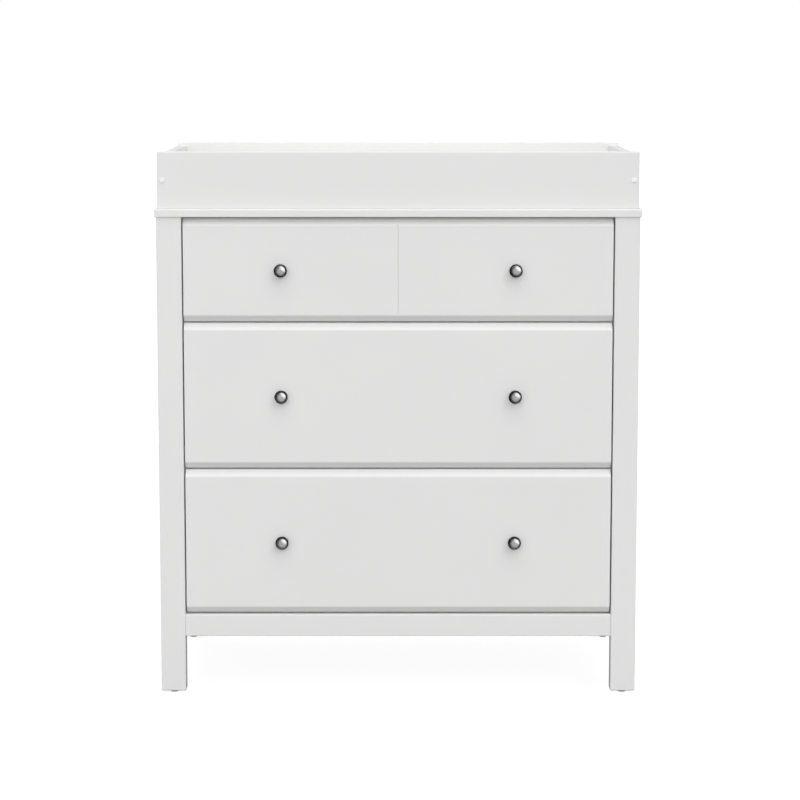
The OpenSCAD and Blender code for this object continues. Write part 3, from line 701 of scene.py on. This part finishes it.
def metalwork():
    for side in SIDES:
        dress(f"{side}_case_slides", "coated_steel", 0.3)
    for drawer in DRAWERS:
        dress(f"{drawer}_drawer_slides", "coated_steel", 0.3)
        dress(f"{drawer}_drawer_fasteners", "zinc_steel", 0.15)
    for node in ("cam_bolts", "cam_nuts", "case_screws", "tray_fasteners"):
        dress(node, "zinc_steel", 0.15)
    for node in ("tray_straps", "anti_tip_bracket"):
        dress(node, "zinc_steel", 0.4)


# ---- Studio ----


def aim(thing, place, target):
    thing.location = place
    thing.rotation_euler = (Vector(target) - Vector(place)).to_track_quat("-Z", "Y").to_euler()


def softbox(name, direction, spread, strength):
    """A far, wide source: light comes from direction, over a disc of sky spread degrees across.
    Shiny metal doesn't mirror it, because the sky holds the panels that it mirrors."""
    light = bpy.data.lights.new(name, "SUN")
    light.angle = math.radians(spread)
    light.energy = strength
    thing = bpy.data.objects.new(name, light)
    thing.visible_glossy = False
    bpy.context.scene.collection.objects.link(thing)
    aim(thing, direction, (0, 0, 0))


OVERHEAD = (0, -0.35, 3)
KEY = (2.2, -3.0, 2.4)
FILL = (-1.2, -4.0, 0.9)
REAR = (-2.2, 3.6, 1.3)


def lights():
    softbox("overhead", OVERHEAD, 70, 1.92)
    softbox("key", KEY, 30, 0.62)
    softbox("fill", FILL, 60, 1.12)
    softbox("rear", REAR, 60, 1.0)


def mirrored_panel(nodes, links, direction, core, edge, strength, others=None):
    """One round panel of the sky that shiny metal mirrors, added to the others:
    full strength up to core degrees from direction, nothing beyond edge."""
    towards = nodes.new("ShaderNodeTexCoord")
    dot = nodes.new("ShaderNodeVectorMath")
    dot.operation = "DOT_PRODUCT"
    dot.inputs[1].default_value = Vector(direction).normalized()
    links.new(towards.outputs["Generated"], dot.inputs[0])
    fade = nodes.new("ShaderNodeMapRange")
    fade.interpolation_type = "SMOOTHSTEP"
    fade.inputs["From Min"].default_value = math.cos(math.radians(edge))
    fade.inputs["From Max"].default_value = math.cos(math.radians(core))
    fade.inputs["To Min"].default_value = 0
    fade.inputs["To Max"].default_value = strength
    links.new(dot.outputs["Value"], fade.inputs["Value"])
    if others is None:
        return fade.outputs["Result"]
    total = nodes.new("ShaderNodeMath")
    total.operation = "ADD"
    links.new(fade.outputs["Result"], total.inputs[0])
    links.new(others, total.inputs[1])
    return total.outputs[0]


GREY_PANEL = (0.2, -1, 0.04)
WHITE_PANEL = (0.70, -0.05, 0.68)


def world():
    """An even sky for the camera and for matt surfaces. Shiny ones mirror a dark room with two panels."""
    sky = bpy.data.worlds.new("studio")
    sky.use_nodes = True
    nodes, links = sky.node_tree.nodes, sky.node_tree.links
    ray = nodes.new("ShaderNodeLightPath")
    panels = mirrored_panel(nodes, links, GREY_PANEL, 40, 104, 0.64)
    panels = mirrored_panel(nodes, links, WHITE_PANEL, 24, 70, 1.2, panels)
    lit = nodes.new("ShaderNodeMix")
    lit.data_type = "RGBA"
    lit.inputs[6].default_value = (0.36, 0.36, 0.36, 1)
    links.new(ray.outputs["Is Glossy Ray"], lit.inputs["Factor"])
    links.new(panels, lit.inputs[7])
    seen = nodes.new("ShaderNodeMix")
    seen.data_type = "RGBA"
    seen.inputs[7].default_value = (1, 1, 1, 1)
    links.new(ray.outputs["Is Camera Ray"], seen.inputs["Factor"])
    links.new(lit.outputs[2], seen.inputs[6])
    links.new(seen.outputs[2], nodes["Background"].inputs["Color"])
    bpy.context.scene.world = sky


def floor():
    """A wide pale floor. The camera sees it lit from within, so that only a faint shadow shows on it.
    Shiny metal mirrors the sky's panels in its place."""
    mesh = bmesh.new()
    bmesh.ops.create_grid(mesh, x_segments=8, y_segments=8, size=30)
    data = bpy.data.meshes.new("floor")
    mesh.to_mesh(data)
    mesh.free()
    thing = bpy.data.objects.new("floor", data)
    thing.visible_glossy = False
    bpy.context.scene.collection.objects.link(thing)
    material = bpy.data.materials.new("floor")
    material.use_nodes = True
    nodes, links = material.node_tree.nodes, material.node_tree.links
    nodes.clear()
    output = nodes.new("ShaderNodeOutputMaterial")
    path = nodes.new("ShaderNodeLightPath")
    plain = nodes.new("ShaderNodeBsdfDiffuse")
    plain.inputs["Color"].default_value = (0.40, 0.40, 0.40, 1)
    faint = nodes.new("ShaderNodeBsdfDiffuse")
    faint.inputs["Color"].default_value = (0.14, 0.14, 0.14, 1)
    glow = nodes.new("ShaderNodeEmission")
    glow.inputs["Color"].default_value = (0.93, 0.93, 0.93, 1)
    seen = nodes.new("ShaderNodeAddShader")
    links.new(faint.outputs[0], seen.inputs[0])
    links.new(glow.outputs[0], seen.inputs[1])
    choice = nodes.new("ShaderNodeMixShader")
    links.new(path.outputs["Is Camera Ray"], choice.inputs[0])
    links.new(plain.outputs[0], choice.inputs[1])
    links.new(seen.outputs[0], choice.inputs[2])
    links.new(choice.outputs[0], output.inputs["Surface"])
    data.materials.append(material)


CAMERA_DISTANCE = 4.5
CAMERA_HEIGHT = 1.236
CAMERA_PITCH = 7.29
CAMERA_LENS = 108.2
CAMERA_SHIFT = (0.0023, -0.06)


def camera():
    """Stands before the middle of the front and looks slightly down."""
    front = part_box("right_front_leg")[0].y
    data = bpy.data.cameras.new("camera")
    data.lens = CAMERA_LENS
    data.shift_x, data.shift_y = CAMERA_SHIFT
    thing = bpy.data.objects.new("camera", data)
    bpy.context.scene.collection.objects.link(thing)
    thing.location = (0, front - CAMERA_DISTANCE, CAMERA_HEIGHT)
    thing.rotation_euler = (math.radians(90 - CAMERA_PITCH), 0, 0)
    bpy.context.scene.camera = thing


# ---- Everything ----

case_boards()
for drawer in DRAWERS:
    drawer_boards(drawer)
    knobs(drawer)
    for member in ("case", "drawer"):
        rollers(drawer, member)
glides()
bolt_caps()
metalwork()
lights()
world()
floor()
camera()
bpy.context.scene.view_settings.view_transform = "Standard"
